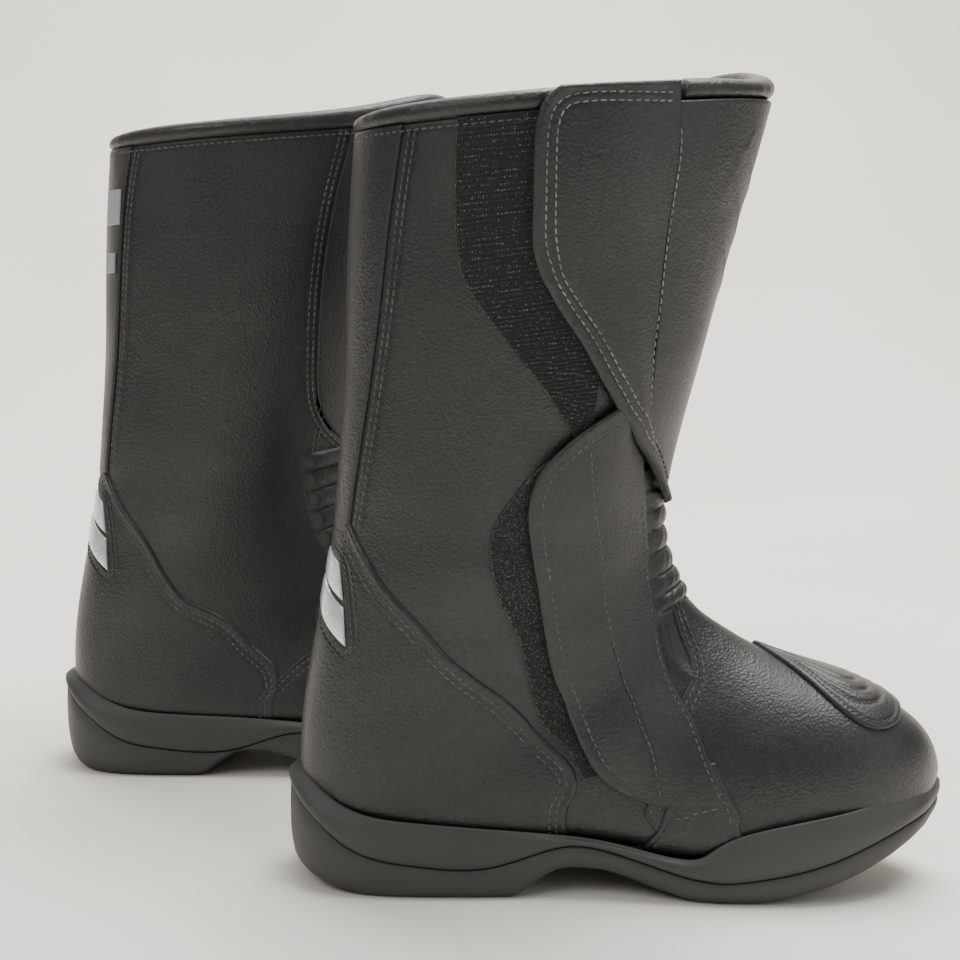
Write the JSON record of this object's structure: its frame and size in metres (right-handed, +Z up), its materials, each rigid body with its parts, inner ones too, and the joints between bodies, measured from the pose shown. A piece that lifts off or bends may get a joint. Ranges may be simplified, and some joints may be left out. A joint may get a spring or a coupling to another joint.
{
  "type": "riding boots",
  "caption": "Pair of mid-calf leather riding boots with zip and hook-and-loop flaps, flexible ankle rolls, padded collar and cupped rubber sole.",
  "frame": {"origin": "centre of the pair's bounding box, on the floor the boots stand on", "axes": "+X towards the toes, +Z up, +Y from the left boot to the right boot"},
  "size_m": [0.4362, 0.3058, 0.3669],
  "materials": {
    "smooth_leather": "satin",
    "flap_leather": "satin",
    "padded_leather": "satin",
    "loop_cloth": "looped pile",
    "hook_cloth": "hook tape",
    "lining_cloth": "knitted",
    "zip_tape": "woven tape and moulded teeth",
    "rubber": "matte",
    "board": "fibre board",
    "foam": "soft foam",
    "metal": "dark nickel",
    "reflector": "silver reflective film",
    "trim": "moulded"
  },
  "bodies": {
    "left_boot": {"left_inner_panel": "smooth_leather", "left_outer_panel": "smooth_leather", "left_shin_panel": "smooth_leather", "left_flex_panel": "padded_leather", "left_quarter_panel": "smooth_leather", "left_vamp": "smooth_leather", "left_heel_counter": "smooth_leather", "left_heel_stiffener": "board", "left_toe_puff": "board", "left_back_strip": "smooth_leather", "left_back_tab": "trim", "left_heel_reflector": "reflector", "left_toe_pad": "padded_leather", "left_upper_loop_strip": "loop_cloth", "left_lower_loop_strip": "loop_cloth", "left_zip": "zip_tape", "left_collar": "padded_leather", "left_lining": "lining_cloth", "left_insole_board": "board", "left_footbed": "foam", "left_steel_shank": "metal", "left_outsole": "rubber", "left_midsole": "rubber"},
    "left_upper_flap": {"left_upper_flap": "flap_leather", "left_upper_flap_hook": "hook_cloth"},
    "left_lower_flap": {"left_lower_flap": "flap_leather", "left_lower_flap_hook": "hook_cloth"},
    "left_zip_slider": {"left_zip_slider": "metal"},
    "left_zip_puller": {"left_zip_puller": "metal"},
    "right_boot": {"right_inner_panel": "smooth_leather", "right_outer_panel": "smooth_leather", "right_shin_panel": "smooth_leather", "right_flex_panel": "padded_leather", "right_quarter_panel": "smooth_leather", "right_vamp": "smooth_leather", "right_heel_counter": "smooth_leather", "right_heel_stiffener": "board", "right_toe_puff": "board", "right_back_strip": "smooth_leather", "right_back_tab": "trim", "right_heel_reflector": "reflector", "right_toe_pad": "padded_leather", "right_upper_loop_strip": "loop_cloth", "right_lower_loop_strip": "loop_cloth", "right_zip": "zip_tape", "right_collar": "padded_leather", "right_lining": "lining_cloth", "right_insole_board": "board", "right_footbed": "foam", "right_steel_shank": "metal", "right_outsole": "rubber", "right_midsole": "rubber"},
    "right_upper_flap": {"right_upper_flap": "flap_leather", "right_upper_flap_hook": "hook_cloth"},
    "right_lower_flap": {"right_lower_flap": "flap_leather", "right_lower_flap_hook": "hook_cloth"},
    "right_zip_slider": {"right_zip_slider": "metal"},
    "right_zip_puller": {"right_zip_puller": "metal"}
  },
  "joints": [
    {"name": "right_boot_lift", "type": "slide", "parent": "left_boot", "child": "right_boot", "axis": [0, 0, 1], "range_m": [0, 0.4]},
    {"name": "left_upper_flap_hinge", "type": "hinge", "parent": "left_boot", "child": "left_upper_flap", "pos_m": [0.07583, -0.14623, 0.34564], "axis": [0.0408, -0.1478, 0.9882], "range_deg": [0, 110]},
    {"name": "left_lower_flap_hinge", "type": "hinge", "parent": "left_boot", "child": "left_lower_flap", "pos_m": [0.07312, -0.11193, 0.17576], "axis": [-0.1768, 0.047, 0.9831], "range_deg": [0, 64]},
    {"name": "left_zip_slide", "type": "slide", "parent": "left_boot", "child": "left_zip_slider", "axis": [0.0456, 0.1001, -0.9939], "range_m": [0, 0.058]},
    {"name": "left_puller_swing", "type": "hinge", "parent": "left_zip_slider", "child": "left_zip_puller", "pos_m": [0.04475, -0.14798, 0.32833], "axis": [0.0801, -0.9921, -0.0962], "range_deg": [-30, 30]},
    {"name": "right_upper_flap_hinge", "type": "hinge", "parent": "right_boot", "child": "right_upper_flap", "pos_m": [-0.06129, 0.14873, 0.34564], "axis": [-0.0289, -0.1505, -0.9882], "range_deg": [0, 110]},
    {"name": "right_lower_flap_hinge", "type": "hinge", "parent": "right_boot", "child": "right_lower_flap", "pos_m": [-0.06127, 0.11433, 0.17576], "axis": [0.1725, 0.0608, -0.9831], "range_deg": [0, 64]},
    {"name": "right_zip_slide", "type": "slide", "parent": "right_boot", "child": "right_zip_slider", "axis": [0.0534, -0.0962, -0.9939], "range_m": [0, 0.058]},
    {"name": "right_puller_swing", "type": "hinge", "parent": "right_zip_slider", "child": "right_zip_puller", "pos_m": [-0.09241, 0.14802, 0.32833], "axis": [0.0013, 0.9954, -0.0962], "range_deg": [-30, 30]}
  ]
}
